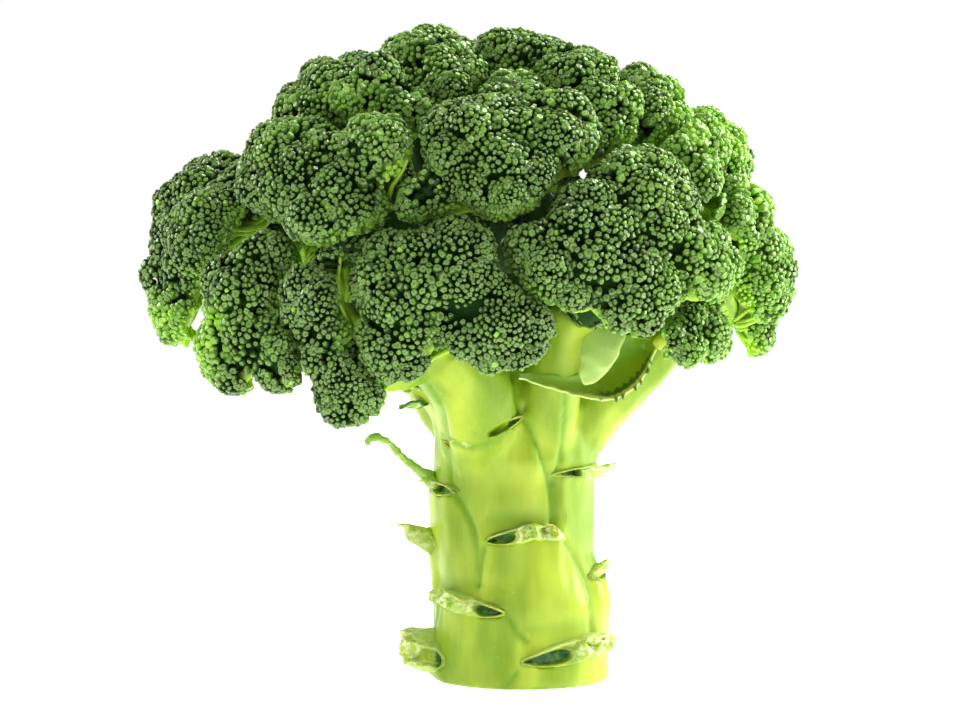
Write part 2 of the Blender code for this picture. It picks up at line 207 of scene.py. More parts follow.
def even_skin(node, step, rounds):
    """(points, normals, quads) of a CAD node's skin, merged, remeshed to an even step and smoothed."""
    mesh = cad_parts[node].data.copy()
    mesh.materials.clear()
    shell = bmesh.new()
    shell.from_mesh(mesh)
    bmesh.ops.remove_doubles(shell, verts=shell.verts, dist=SAME_POINT)
    shell.to_mesh(mesh)
    shell.free()
    draft = bpy.data.objects.new("draft", mesh)
    bpy.context.scene.collection.objects.link(draft)
    remesh = draft.modifiers.new("even", "REMESH")
    remesh.mode = "VOXEL"
    remesh.voxel_size = step
    smooth = draft.modifiers.new("round", "SMOOTH")
    smooth.factor = 0.5
    smooth.iterations = rounds
    evaluated = draft.evaluated_get(bpy.context.evaluated_depsgraph_get())
    made = evaluated.to_mesh()
    points, normals = np.empty((2, len(made.vertices) * 3))
    made.vertices.foreach_get("co", points)
    made.vertices.foreach_get("normal", normals)
    corners = np.empty(len(made.loops), int)
    made.loops.foreach_get("vertex_index", corners)
    evaluated.to_mesh_clear()
    bpy.data.objects.remove(draft)
    bpy.data.meshes.remove(mesh)
    return points.reshape(-1, 3), normals.reshape(-1, 3), corners.reshape(-1, 4)


def tree_of(points):
    """A search tree over the points."""
    tree = KDTree(len(points))
    for index, point in enumerate(points):
        tree.insert(point, index)
    tree.balance()
    return tree


def nearest(tree, points, count):
    """The indices of the count tree points nearest to each point, and the distance to the nearest."""
    found = [tree.find_n(point, count) for point in points]
    indices = np.array([[hit[1] for hit in hits] for hits in found]).reshape(-1, count)
    return indices, np.array([hits[0][2] for hits in found])


def make_piece(name, skin, material, stands_for=(), marks=None, mapped=False):
    """An object from the skin, its marks as point attributes, on the body, with the CAD nodes it stands for
    hidden.
    """
    mesh = bpy.data.meshes.new(name)
    mesh.from_pydata(skin.points.tolist(), [], [face for block in skin.faces for face in block.tolist()])
    if mapped:
        layer = mesh.uv_layers.new(name=BUD_MAP)
        places = np.concatenate([place.reshape(-1, 2) for place in skin.places])
        layer.uv.foreach_set("vector", places.ravel())
    for mark, values in (marks or {}).items():
        mesh.attributes.new(mark, "FLOAT", "POINT").data.foreach_set("value", values.astype(np.float32))
    mesh.shade_smooth()
    if mapped:
        mesh.set_sharp_from_angle(angle=CREASE_ANGLE)
    mesh.materials.append(material)
    piece = bpy.data.objects.new(name, mesh)
    bpy.context.scene.collection.objects.link(piece)
    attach(piece, BODY)
    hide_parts(*stands_for)
    return piece


# ---- paint


class Value:
    """A socket that takes part in Python expressions: each operator adds its Math node."""

    def __init__(self, paint, socket):
        self.paint = paint
        self.socket = socket

    def maths(self, operation, *terms):
        return self.paint.add("ShaderNodeMath", {"operation": operation}, dict(enumerate(terms)))

    def __add__(self, other):
        return self.maths("ADD", self, other)

    def __sub__(self, other):
        return self.maths("SUBTRACT", self, other)

    def __mul__(self, other):
        return self.maths("MULTIPLY", self, other)

    def __rsub__(self, other):
        return self.maths("SUBTRACT", other, self)

    def between(self, low, high):
        """0 below low and 1 above high, smooth between."""
        settings = {"interpolation_type": "SMOOTHSTEP"}
        return self.paint.add("ShaderNodeMapRange", settings, {0: self, 1: low, 2: high})


class Paint:
    """A material, its constants set on the shader's own sockets, and one method that adds any node."""

    def __init__(self, name, **constants):
        self.material = bpy.data.materials.new(name)
        self.material.use_nodes = True
        self.tree = self.material.node_tree
        self.shader = self.tree.nodes["Principled BSDF"]
        for socket, value in constants.items():
            self.shader.inputs[socket.replace("_", " ")].default_value = value

    def add(self, kind, settings=None, inputs=None, output=0):
        """A node of that kind: its settings or a ramp's stops first, then its sockets' values and links."""
        node = self.tree.nodes.new(kind)
        for name, setting in (settings or {}).items():
            if name == "stops":
                self.set_stops(node.color_ramp.elements, setting)
            else:
                setattr(node, name, setting)
        for name, value in (inputs or {}).items():
            if isinstance(value, Value):
                self.tree.links.new(value.socket, node.inputs[name])
            else:
                node.inputs[name].default_value = value
        return Value(self, node.outputs[output])

    def set_stops(self, elements, stops):
        while len(elements) < len(stops):
            elements.new(1)
        for element, (position, colour) in zip(elements, stops):
            element.position = position
            element.color = colour

    def feed(self, socket, value):
        self.tree.links.new(value.socket, self.shader.inputs[socket])

    def place(self):
        return self.add("ShaderNodeTexCoord", output="Object")

    def stretched(self, scale):
        """Object coordinates times scale, axis by axis."""
        return self.add("ShaderNodeMapping", {}, {"Vector": self.place(), "Scale": scale})

    def noise(self, scale, detail=2.0, where=None):
        inputs = {"Vector": where or self.place(), "Scale": scale, "Detail": detail}
        return self.add("ShaderNodeTexNoise", {}, inputs)

    def mark(self, name):
        return self.add("ShaderNodeAttribute", {"attribute_name": name}, output="Fac")

    def mix(self, share, first, second, blend="MIX"):
        settings = {"data_type": "RGBA", "blend_type": blend}
        return self.add("ShaderNodeMix", settings, {0: share, 6: first, 7: second}, output=2)

    def ramp(self, share, stops):
        return self.add("ShaderNodeValToRGB", {"stops": stops}, {0: share})

    def bump(self, height, distance, strength=1.0):
        inputs = {"Height": height, "Distance": distance, "Strength": strength}
        self.feed("Normal", self.add("ShaderNodeBump", {}, inputs))


# What a bud's colour is multiplied by along it, from stem (0) to tip (1). A green bud gets painted shade below
# its tip, where buds shade each other, and a painted highlight at its rim. A young bud, and a bud lightened as
# painted light, is lime at its foot, which is partly painted light, and also gets a painted highlight at its
# rim.
BUD_SHADE_AND_HIGHLIGHT = [
    (0, (0.06, 0.12, 0.03, 1)),
    (0.4, (0.2, 0.28, 0.12, 1)),
    (0.7, (0.6, 0.66, 0.5, 1)),
    (0.88, (1.15, 1.15, 1.1, 1)),
]
YOUNG_AND_LIT_BUD = [
    (0, (1.1, 1.3, 0.15, 1)),
    (0.5, (1.05, 1.2, 0.3, 1)),
    (0.75, (0.9, 0.95, 0.8, 1)),
    (0.9, (1.1, 1.05, 1.3, 1)),
]


def bud_paint(crown):
    """Bud skin, a pure function of the map: a bud's column is its tint, partly painted light, and height runs
    from stem to tip, with painted shade below the tip and a painted highlight at the rim.
    """
    paint = Paint("bud skin", Specular_IOR_Level=0.36, Subsurface_Weight=0.06, Subsurface_Scale=0.001)
    place = paint.add("ShaderNodeUVMap", {"uv_map": BUD_MAP})
    across = paint.add("ShaderNodeSeparateXYZ", {}, {0: place}, output=0)
    along = paint.add("ShaderNodeSeparateXYZ", {}, {0: place}, output=1)
    column = across * TINTS
    # A bud's tint share: its own colour, with painted light added towards the right and the top of the head.
    youth_and_light = column.maths("FLOOR", column) * (1 / (TINTS - 1))
    tint = paint.ramp(youth_and_light, [(0, crown.dark), (0.35, crown.green), (0.7, crown.fresh), (1, crown.lime)])
    # Painted shade down each bud's side and a painted highlight at its rim; buds of high tint share, young or
    # lightened as painted light, take the lime ramp.
    shade = paint.mix(youth_and_light.between(0.32, 0.72), paint.ramp(along, BUD_SHADE_AND_HIGHLIGHT), paint.ramp(along, YOUNG_AND_LIT_BUD))
    skin = paint.mix(1.0, tint, shade, "MULTIPLY")
    # The rim is the bud's waxy edge, made paler as a painted highlight.
    rim = along.between(0.74, 0.88) * (1 - along.between(0.9, 1.0))
    paint.feed("Base Color", paint.mix(rim * 0.4, skin, crown.rim))
    paint.feed("Roughness", 0.5 - rim * 0.18)
    return paint.material


def flesh_paint(crown):
    """The floret under its buds: near-black painted shade between buds, lightened towards the right as painted
    light, and lime with long fibres where it is bare.
    """
    paint = Paint("floret flesh", Specular_IOR_Level=0.12, Subsurface_Weight=0.1, Subsurface_Scale=0.003)
    bare = paint.mark("bare")
    mottle = paint.noise(260.0, 3.0)
    pale = paint.mix(mottle, crown.lime, crown.pedicel)
    # Painted shade between buds, lightened towards the right side of the head as painted light.
    deep = paint.mix(paint.mark("fresh"), crown.gap, (0.1, 0.26, 0.01, 1))
    paint.feed("Base Color", paint.mix(bare, deep, pale))
    paint.feed("Roughness", 0.72 - bare * 0.25)
    paint.bump(paint.noise(700.0, 2.0), 0.0002, 0.4)
    return paint.material


# ---- florets


class BROCCOLI_PG_crown(bpy.types.PropertyGroup):
    """Sizes and colours of the florets."""

    bud_spacing: length("Bud spacing", "Distance between bud centres", 1.6)
    bud_girth: FloatProperty(
        name="Bud girth", description="A bud's width over the bud spacing", default=1.02, min=0.3, max=2
    )
    umbel_spacing: length("Umbel spacing", "Distance between clusters of buds", 9.5)
    umbel_rise: length("Umbel rise", "How far a cluster's middle stands over its rim", 1.7)
    skin_step: length("Skin step", "Grid of the flesh under the buds", 1.3)
    wall_gap: length("Wall gap", "Nearer than this to the next floret, no bud grows", 0.95)
    wall_depth: length("Wall depth", "How far buds reach down between two florets", 7)
    hub: spot("Hub", "The point the florets fan out from", -4, 0, 66)
    dark: colour("Shaded bud", "Colour of the darkest buds", 0.014, 0.048, 0.005)
    green: colour("Bud", "Colour of most buds", 0.044, 0.115, 0.01)
    # The fresh bud colour is partly the young buds' own and partly painted light on the right of the head.
    fresh: colour("Fresh bud", "Colour of young buds", 0.17, 0.37, 0.035)
    lime: colour("Lime", "Colour of buds that were shaded", 0.34, 0.62, 0.03)
    pedicel: colour("Pedicel", "Colour of the stems under the buds", 0.42, 0.62, 0.09)
    # The bud rim colour is partly the waxy edge and partly a painted highlight.
    rim: colour("Bud rim", "Colour of the waxy edge round a bud's tip", 0.36, 0.56, 0.15)
    # Painted shade: the near-black colour of the flesh between buds stands for the shade deep among them.
    gap: colour("Between buds", "Colour of the flesh between buds", 0.01, 0.045, 0.003)
    strands: IntProperty(
        name="Strands", description="Pedicels on each floret's bare underside", default=46, min=0, max=400
    )


def clearances(skins):
    """For each floret, every point's distance to the nearest other floret if that is near, or else FAR."""
    trees = {name: tree_of(points) for name, (points, _, _) in skins.items()}
    boxes = {name: (points.min(0), points.max(0)) for name, (points, _, _) in skins.items()}
    reach = 4 * MM
    result = {}
    for name, (points, _, _) in skins.items():
        apart = np.full(len(points), FAR)
        for other, (low, high) in boxes.items():
            close = ((points > low - reach) & (points < high + reach)).all(1)
            if other != name and close.any():
                apart[close] = np.minimum(apart[close], nearest(trees[other], points[close], 1)[1])
        result[name] = apart
    return result, trees


def spread_out(points, spacing, rng):
    """Indices of points at least spacing apart, taken in a random order until none is left."""
    covered = np.zeros(len(points), bool)
    chosen = []
    for index in rng.permutation(len(points)):
        if not covered[index]:
            chosen.append(index)
            covered |= dot(points - points[index], points - points[index]) < spacing**2
    return np.array(chosen)


UMBEL_BUDS = 100
UMBEL_POWER = 0.56
UMBEL_PACE = 0.86
HEXAGON_AREA = 0.866  # of a bud's hexagon, over the spacing squared


def umbel_buds(crown, points, normals, tree, budded, rng):
    """Places of buds: round each umbel's middle the k-th bud stands at the golden angle times k and at k to
    the power UMBEL_POWER, so buds are closest in the middle. It is let down on the skin and kept if its own
    umbel's middle is the nearest. The last array is each bud's share of the common spacing."""
    grown = np.flatnonzero(budded)
    middles = grown[spread_out(points[grown], crown.umbel_spacing, rng)]
    each, power = UMBEL_BUDS, UMBEL_POWER
    pace = crown.bud_spacing * (HEXAGON_AREA / np.pi) ** 0.5 * UMBEL_PACE
    order = np.arange(each) + 0.4
    stretch = rng.uniform(0.86, 1.14, (len(middles), 1))
    radius = pace * order**power * stretch + rng.normal(0, 0.12, (len(middles), each)) * crown.bud_spacing
    roomy = (UMBEL_PACE * stretch * (2 * power * order ** (2 * power - 1)) ** 0.5).ravel()
    angle = GOLDEN_ANGLE * order + rng.uniform(0, 2 * np.pi, (len(middles), 1))
    up = normals[middles]
    east = unit(np.cross(up, rng.normal(size=up.shape)))
    north = np.cross(up, east)
    eastward, northward = (np.cos(angle) * radius)[..., None], (np.sin(angle) * radius)[..., None]
    flat = eastward * east[:, None] + northward * north[:, None]
    places = (points[middles][:, None] + flat).reshape(-1, 3)
    owner = np.repeat(np.arange(len(middles)), each)
    near, _ = nearest(tree, places, 4)
    foot = points[near].mean(1)
    lean = unit(normals[near].mean(1))
    places = places - dot(places - foot, lean)[:, None] * lean
    gaps = np.linalg.norm(places[:, None] - points[middles], axis=-1)
    own = gaps[np.arange(len(places)), owner]
    gaps[np.arange(len(places)), owner] = FAR
    other = gaps.min(1)
    keep = (own < other + 0.1 * crown.bud_spacing) & budded[near].all(1)
    away = unit(places - points[middles][owner])
    return places[keep], lean[keep], away[keep], own[keep], near[keep, 0], owner[keep], roomy[keep]


BUD_CORNERS = 6
BUD_WIDTHS = np.array([0.93, 1.0, 0.62])  # of the belly, the shoulder and the rim, over the bud's
BUD_HEIGHTS = np.array([-1.25, -0.36, 0.0])  # of the same three under the tip, over the bud's own height
BUD_LEVELS = np.array([0, 0.4, 0.7, 0.88, 1.0])  # of foot, belly, shoulder, rim and tip on the map


def bud_skins(crown, places, lean, away, own, owner, roomy, tint, bare, rng):
    """Buds as rows of three six-cornered rings: the belly, the shoulder and the rim round a dented, nearly
    flat tip. The foot is a point. Corners wander, so that a bud is an uneven rounded block."""
    count = len(places)
    share = np.clip(own / (0.6 * crown.umbel_spacing), 0, 1)[:, None]
    up = unit(lean + 0.75 * share**1.5 * away + rng.normal(0, 0.2, lean.shape))
    size = roomy[:, None] * np.exp(rng.normal(0, 0.22, (count, 1))).clip(0.55, 1.6)
    girth = 0.5 * crown.bud_girth * crown.bud_spacing * size
    tall = girth * rng.uniform(0.9, 1.6, girth.shape) * (1 + 0.5 * bare[:, None])
    east = unit(np.cross(up, rng.normal(size=up.shape)))
    north = np.cross(up, east)
    swell = rng.normal(0, 0.45 * MM, owner.max() + 1)[owner][:, None]
    sink = crown.umbel_rise * share**2 + swell + rng.uniform(-0.4, 0.3, share.shape) * MM
    tip = places - sink * lean
    angle = np.arange(BUD_CORNERS) * (2 * np.pi / BUD_CORNERS) + rng.normal(0, 0.12, (count, BUD_CORNERS))
    width = BUD_WIDTHS[:, None] * rng.uniform(0.8, 1.14, (count, 1, BUD_CORNERS)) * girth[:, :, None]
    height = BUD_HEIGHTS * tall
    flat = rng.uniform(0.76, 1.0, (count, 1, 1, 1))
    across = np.cos(angle)[:, None, :, None] * east[:, None, None]
    over = np.sin(angle)[:, None, :, None] * north[:, None, None] * flat
    rise = height[:, :, None, None] * up[:, None, None]
    rings = tip[:, None, None] + (across + over) * width[..., None] + rise
    start = tip - up * tall * 2.4
    end = tip - up * tall * rng.uniform(-0.1, 0.14, tall.shape)
    skin = lofted(rings, start, end, BUD_LEVELS)
    column = np.clip(np.round(tint * (TINTS - 1)), 0, TINTS - 1)
    for block in skin.places:
        columns = np.repeat(column, len(block) // count)[:, None]
        block[..., 0] = (columns + 0.15 + 0.7 * block[..., 0]) / TINTS
    return skin


STRAND_STEPS = 7
LEAST_BARE = 20  # points of bare skin without which a floret shows no strands


def strand_skin(crown, points, normals, bare_points, hub, rng):
    """Pedicels: from the rim of the bare underside each runs over the skin to the floret's foot."""
    if len(bare_points) < LEAST_BARE:
        return None
    foot = points[np.argmin(np.linalg.norm(points - hub, axis=1))]
    starts = points[rng.choice(bare_points, crown.strands)]
    share = np.linspace(0, 0.85, STRAND_STEPS)[:, None]
    paths = starts[:, None] * (1 - share) + foot * share
    tree = tree_of(points)
    near, _ = nearest(tree, paths.reshape(-1, 3), 3)
    paths = (points[near].mean(1) + normals[near].mean(1) * 0.1 * MM).reshape(paths.shape)
    paths[:, 0] += unit(starts - hub) * 1.2 * MM
    paths[:, 1:-1] = (paths[:, :-2] + paths[:, 1:-1] + paths[:, 2:]) / 3
    radii = np.linspace(0.42, 0.95, STRAND_STEPS) * MM * rng.uniform(0.8, 1.25, (len(paths), 1))
    halfway = near.reshape(len(paths), STRAND_STEPS, 3)[:, STRAND_STEPS // 2, 0]
    return tubes(paths, radii, 6, unit(normals[halfway]))


# How far the flesh is let in: under buds, and where it is bare.
BUDDED_INSET, BARE_INSET = 4.4 * MM, 0.6 * MM
ODD_SHARE, ODD_TINT = 0.004, 0.85  # a few buds yellow early


def grow_floret(crown, name, skin, apart, tree, materials, rng):
    """One floret: its flesh, let in under the buds, its pedicels, and its buds. facing is 1 where the skin
    looks away from the hub and -1 on the underside."""
    points, normals, quads = skin
    hub = np.array(crown.hub)
    facing = dot(normals, unit(points - hub))
    open_skin = (facing > -0.5) & (apart > crown.wall_gap)
    depth = nearest(tree_of(points[open_skin]), points, 1)[1]
    budded = open_skin | ((facing > -0.6) & (depth < crown.wall_depth))
    bare = (1 - smooth_step(-0.8, -0.45, facing)) * smooth_step(1 * MM, 2.5 * MM, apart)
    inset = BUDDED_INSET * (1 - bare) + BARE_INSET * bare
    # The let-in flesh under the buds is a dark sheet of painted shade between them.
    core = Skin(points - normals * inset[:, None], [quads])
    skins, marks = [core], [bare]
    under = np.flatnonzero((facing < -0.5) & (apart > 2 * crown.wall_gap))
    strands = strand_skin(crown, points, normals, under, hub, rng)
    if strands:
        skins.append(strands)
        marks.append(np.ones(len(strands.points)))
    flesh = joined(skins)
    # Painted light: the flesh between buds is made lighter towards the right, where the lamps fall.
    fresh = smooth_step(30 * MM, 60 * MM, flesh.points[:, 0])
    marks = {"bare": np.concatenate(marks), "fresh": fresh}
    make_piece(name + "_flesh", flesh, materials[1], [name], marks)
    growth = unit(normals + 0.45 * unit(points - hub))
    places, lean, away, own, near, owner, roomy = umbel_buds(crown, points, growth, tree, budded, rng)
    low = 1 - smooth_step(-0.4, 0.15, facing[near])
    tint = 0.25 + 0.06 * ripple(places, 26 * MM, SEED) + rng.normal(0, 0.09, len(places)) + 0.5 * low
    tint = tint + rng.normal(0, 0.045, owner.max() + 1)[owner]
    height = places[:, 2]
    # Painted light: buds towards the right and near the top are tinted lighter, on the right partly for their
    # fresher colour.
    young_and_lit_right = 0.36 * smooth_step(12 * MM, 60 * MM, places[:, 0])
    lit_top = 0.2 * smooth_step(118 * MM, 150 * MM, height)
    far_left = smooth_step(70 * MM, 78 * MM, -places[:, 0]) * (1 - smooth_step(92 * MM, 104 * MM, height))
    tint = tint + (young_and_lit_right + lit_top) + 0.45 * far_left
    tint = np.where(rng.random(len(places)) < ODD_SHARE, ODD_TINT, tint)
    buds = bud_skins(crown, places, lean, away, own, owner, roomy, tint, low, rng)
    make_piece(name + "_buds", buds, materials[0], mapped=True)
    return len(places)


class BROCCOLI_OT_florets(bpy.types.Operator):
    """Grow every floret's flesh, pedicels and buds"""

    bl_idname = "broccoli.florets"
    bl_label = "Florets"

    def execute(self, context):
        crown = context.scene.broccoli_crown
        rng = np.random.default_rng(SEED)
        materials = (bud_paint(crown), flesh_paint(crown))
        skins = {name: even_skin(name, crown.skin_step, 6) for name in FLORETS}
        apart, trees = clearances(skins)
        count = sum(grow_floret(crown, n, skins[n], apart[n], trees[n], materials, rng) for n in FLORETS)
        if not count:
            raise RuntimeError("no bud found room on the florets")
        return {"FINISHED"}


# ---- stalk


class BROCCOLI_PG_stalk(bpy.types.PropertyGroup):
    """Sizes and colours of the stalk."""

    skin_step: length("Skin step", "Grid of the stalk's skin", 0.83)
    girth: length("Girth", "Radius of the stalk", 22)
    shield: length("Shield", "Length of the shield under a scar", 26)
    shield_rise: length("Shield rise", "Height of a shield", 1.3)
    sprouts: length("Sprouts", "Height above which limbs bear buds", 95)
    sprout_share: FloatProperty(
        name="Sprout share", description="Share of the limb buds that grow", default=0.58, min=0, max=1
    )
    crease: length("Crease", "Depth of the creases", 0.6)
    pale: colour("Pale skin", "Colour of the raised skin", 0.41, 0.53, 0.032)
    deep: colour("Deep skin", "Colour of the hollows", 0.19, 0.32, 0.004)


def stalk_paint(stalk):
    """Waxy skin: pale and deep patches drawn out along the stalk, fine fibres and pale dots, with painted
    shade in the creases and near-black painted shade on the limbs inside the crown.
    """
    paint = Paint("stalk skin", Specular_IOR_Level=0.35, Subsurface_Weight=0.2, Subsurface_Scale=0.005)
    patches = paint.noise(1.0, 3.0, paint.stretched((75, 75, 32))).between(0.32, 0.68)
    fibres = paint.noise(1.0, 3.0, paint.stretched((1500, 1500, 90))).between(0.25, 0.8)
    dots = paint.add("ShaderNodeTexVoronoi", {}, {"Vector": paint.place(), "Scale": 420.0})
    spots = 1 - dots.between(0.03, 0.13)
    tone = paint.mix(patches, stalk.deep, stalk.pale)
    tone = paint.mix(fibres * 0.05, tone, (0.62, 0.76, 0.26, 1))
    tone = paint.mix(spots * 0.22, tone, (0.66, 0.78, 0.3, 1))
    # Painted shade: the creases and the edges of the shields are darkened.
    tone = paint.mix(paint.mark("crease") * 0.75, tone, (0.16, 0.33, 0.012, 1))
    crown = bpy.context.scene.broccoli_crown
    # Painted shade: the limbs inside the crown are painted near-black and matte.
    paint.feed("Base Color", paint.mix(paint.mark("inner"), tone, crown.gap))
    paint.feed("Roughness", 0.48 - patches * 0.1 + paint.mark("inner") * 0.5)
    paint.bump(fibres * 0.25 + spots * 0.5, 0.00012, 0.5)
    return paint.material


def round_stalk(points):
    """Each point's angle round the stalk, 0 in front and rising to the right, and its radius."""
    return np.arctan2(points[:, 0], -points[:, 1]), np.hypot(points[:, 0], points[:, 1])


def scar_extent(node):
    """(first angle, last angle, lowest, highest, furthest out) of a cut leaf base's solid."""
    points = points_of(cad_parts[node].data)
    angle, radius = round_stalk(points)
    middle = np.arctan2(points[:, 0].mean(), -points[:, 1].mean())
    turn = turned(angle - middle)
    return middle + turn.min(), middle + turn.max(), points[:, 2].min(), points[:, 2].max(), radius.max()


# The creases of the stalk's front, as points (x, z) in millimetres: between limbs, round the shields and down
# from the ends of the scars.
CREASES = [
    [(-19.4, 63.5), (-17, 61.8), (-12, 60.6), (-7, 62), (-2.8, 65.6), (0.6, 70)],
    [(-3, 78), (-1.5, 71), (0.5, 66.5), (2, 64), (4.5, 57), (6.6, 51), (7.2, 44), (7, 41)],
    [(-25, 79), (-20.5, 72), (-18.8, 66), (-18.6, 60), (-18, 52.5), (-17, 49)],
    [(10.5, 76), (10, 68), (9.6, 61), (8.8, 55), (7.2, 51)],
    [(-16.8, 48.5), (-14, 44), (-11.6, 38), (-10.8, 31), (-11, 25.5)],
    [(10, 36), (13.4, 31), (16.2, 24), (17.2, 15), (17, 8)],
    [(-9.4, 35.4), (-10.4, 30), (-11, 25.5)],
    [(-4, 19), (-1.5, 15), (1.2, 12)],
    [(-1.4, 4.6), (-4, 1.5), (-5.6, 0)],
    [(-20, 22), (-20.6, 17), (-21, 12)],
    [(18, 52), (18.6, 44), (18, 36), (18.6, 31)],
]


def crease_relief(points, stalk):
    """A groove along each of the front's creases: a bell over the distance to the line, seen from the front,
    beside a low welt on its outer side."""
    flat = points[:, ::2]
    groove, welt = np.zeros(len(points)), np.zeros(len(points))
    for line in CREASES:
        line = curve_through(line, 24) * MM
        apart, side = np.full(len(points), FAR), np.zeros(len(points))
        for a, b in zip(line[:-1], line[1:]):
            along = b - a
            share = np.clip((flat - a) @ along / (along @ along), 0, 1)[:, None]
            offset = flat - a - share * along
            gap = np.linalg.norm(offset, axis=1)
            closer = gap < apart
            apart = np.where(closer, gap, apart)
            side = np.where(closer, offset[:, 0], side)
        groove = np.maximum(groove, bell(apart, 0.7 * MM))
        welt = np.maximum(welt, bell(apart, 3.2 * MM) * (side < 0))
    front = smooth_step(2 * MM, -4 * MM, points[:, 1])
    return front * (0.35 * MM * welt - stalk.crease * groove), front * groove


def shield_relief(points, stalk):
    """How far the skin rises. Below each scar stands a shield: full height between two edges that spread a
    little as they run down, fading with the distance below the scar, with a narrow crease along both edges on
    the back, and a shallow dip over the scar."""
    angle, radius = round_stalk(points)
    rise = np.zeros(len(points))
    for node in STUBS:
        first, last, low, high, _ = scar_extent(node)
        across = np.abs(turned(angle - (first + last) / 2)) * stalk.girth
        fall = (low + high) / 2 - points[:, 2]
        half = stalk.girth * (last - first) / 2 + 0.1 * fall
        fade = plateau(-0.8 * MM, 0.8 * MM, 0.15 * stalk.shield, stalk.shield, fall)
        inside = 1 - smooth_step(half - 4 * MM, half, across)
        crease = bell(across - half, 0.8 * MM) * (np.cos((first + last) / 2) < 0)
        rise += fade * (stalk.shield_rise * inside - stalk.crease * crease)
        dip = bell(points[:, 2] - high - 2 * MM, 2 * MM) * (across < half)
        rise -= 0.3 * MM * dip
    trunk = (1 - smooth_step(24 * MM, 28 * MM, radius)) * (1 - smooth_step(60 * MM, 70 * MM, points[:, 2]))
    return rise * trunk


class BROCCOLI_OT_stalk(bpy.types.Operator):
    """Round the stalk's forks and shape its shields and creases"""

    bl_idname = "broccoli.stalk"
    bl_label = "Stalk"

    def execute(self, context):
        stalk = context.scene.broccoli_stalk
        points, normals, quads = even_skin("stalk", stalk.skin_step, 10)
        creases, groove = crease_relief(points, stalk)
        shields = shield_relief(points, stalk)
        waves = 0.25 * MM * ripple(points * (1, 1, 0.4), 9 * MM, SEED)
        level = smooth_step(0, 2 * MM, points[:, 2])
        moved = points + normals * ((shields + creases + waves) * level)[:, None]
        moved[:, 2] = np.maximum(moved[:, 2], 0)
        # The crease mark: painted shade in the grooves and round the shields.
        deep = np.clip(np.maximum(groove, -shields / stalk.crease), 0, 1)
        height = points[:, 2] + 3 * MM * ripple(points, 20 * MM, SEED)
        # The inner mark: near-black painted shade on the limbs inside the crown.
        inner = smooth_step(stalk.sprouts - 5 * MM, stalk.sprouts, height)
        inner = inner * plateau(-64 * MM, -58 * MM, 50 * MM, 54 * MM, points[:, 0])
        marks = {"crease": deep, "inner": inner}
        make_piece("stalk_skin", Skin(moved, [quads]), stalk_paint(stalk), ["stalk"], marks)
        crown = context.scene.broccoli_crown
        rng = np.random.default_rng(SEED + 1)
        found = umbel_buds(crown, points, normals, tree_of(points), inner > 0.4, rng)
        kept = rng.random(len(found[0])) < stalk.sprout_share
        places, lean, away, _, _, owner, roomy = (value[kept] for value in found)
        tint = 0.3 + rng.normal(0, 0.1, len(places))
        flat = np.zeros(len(places))
        buds = bud_skins(crown, places, lean, away, flat, owner, roomy, tint, flat, rng)
        make_piece("inner_buds", buds, bpy.data.materials["bud skin"], mapped=True)
        return {"FINISHED"}


# ---- cut leaf bases


# Each scar: its open slots and its torn rag, as shares of its arc from left to right seen from outside, and
# the height of its middle line at four points along it, as shares of its height.
SCARS = {
    "base_right": ([(0.03, 0.42)], (0.4, 1.0), (0.12, 0.45, 0.62, 0.4)),
    "base_left": ([(0.78, 0.95)], (0.0, 0.85), (0.5, 0.5, 0.42, 0.2)),
    "low_left": ([(0.7, 0.97)], (0.0, 0.72), (0.5, 0.66, 0.55, 0.2)),
    "right": ([(0.1, 0.7)], None, (0.3, 0.5, 0.6, 0.6)),
    "spur_left": ([(0.55, 0.85)], None, (0.5, 0.5, 0.4, 0.3)),
    "centre": ([(0.03, 0.36)], (0.34, 0.95), (0.2, 0.6, 0.68, 0.35)),
    "upper_left": ([(0.45, 0.88)], None, (0.6, 0.55, 0.5, 0.4)),
    "upper_right": ([(0.06, 0.44), (0.56, 0.68)], None, (0.4, 0.42, 0.5, 0.6)),
    "back_low": ([(0.06, 0.46)], (0.5, 1.0), (0.2, 0.5, 0.6, 0.3)),
    "back_left": ([(0.2, 0.8)], None, (0.3, 0.6, 0.6, 0.3)),
    "back_right": ([(0.5, 0.94)], (0.0, 0.5), (0.3, 0.6, 0.55, 0.2)),
    "back_upper": ([(0.08, 0.42)], (0.44, 0.98), (0.25, 0.55, 0.6, 0.3)),
    "front": ([(0.02, 0.12), (0.62, 0.96)], (0.16, 0.5), (0.3, 0.1, 0.3, 0.95)),
}
# The torn rim under the front limb has no solid: its first and last angle, lowest, highest and furthest out.
FRONT_SCAR = (np.radians(-50), np.radians(1), 58.5 * MM, 68.5 * MM, 26 * MM)
# Pointed ends that stand off a scar: root, bend and tip as (x, y, z, half height, half depth) in millimetres.
SPURS = {
    "spur_left": [
        (-20, -3, 34.2, 3.4, 1.6), (-25, -3.6, 36.2, 2.6, 1.2),
        (-28.6, -4, 38.2, 1.5, 0.8), (-31, -4.2, 40, 0.3, 0.3),
    ],
    "upper_right": [
        (14, -12, 53, 1.5, 1.4), (18.6, -8.4, 53.2, 1.5, 1.2),
        (21.6, -6, 53.9, 1.1, 0.9), (24.4, -3, 54.8, 0.25, 0.3),
    ],
    "upper_left": [
        (-20.6, -7, 49.4, 1.6, 1.4), (-23, -5, 50.2, 1.7, 1.1),
        (-24.6, -4, 50.6, 1.0, 0.8), (-26, -3.4, 50.2, 0.4, 0.4),
    ],
    "right": [
        (17, -8, 26.4, 1.8, 1.5), (19.6, -6, 28.4, 1.6, 1.2),
        (21.4, -5, 29.6, 1.2, 0.8), (22.6, -4, 30, 0.4, 0.4),
    ],
}


SLOT_ROOM = 3.4 * MM  # how far the stalk's skin is let in behind the slots


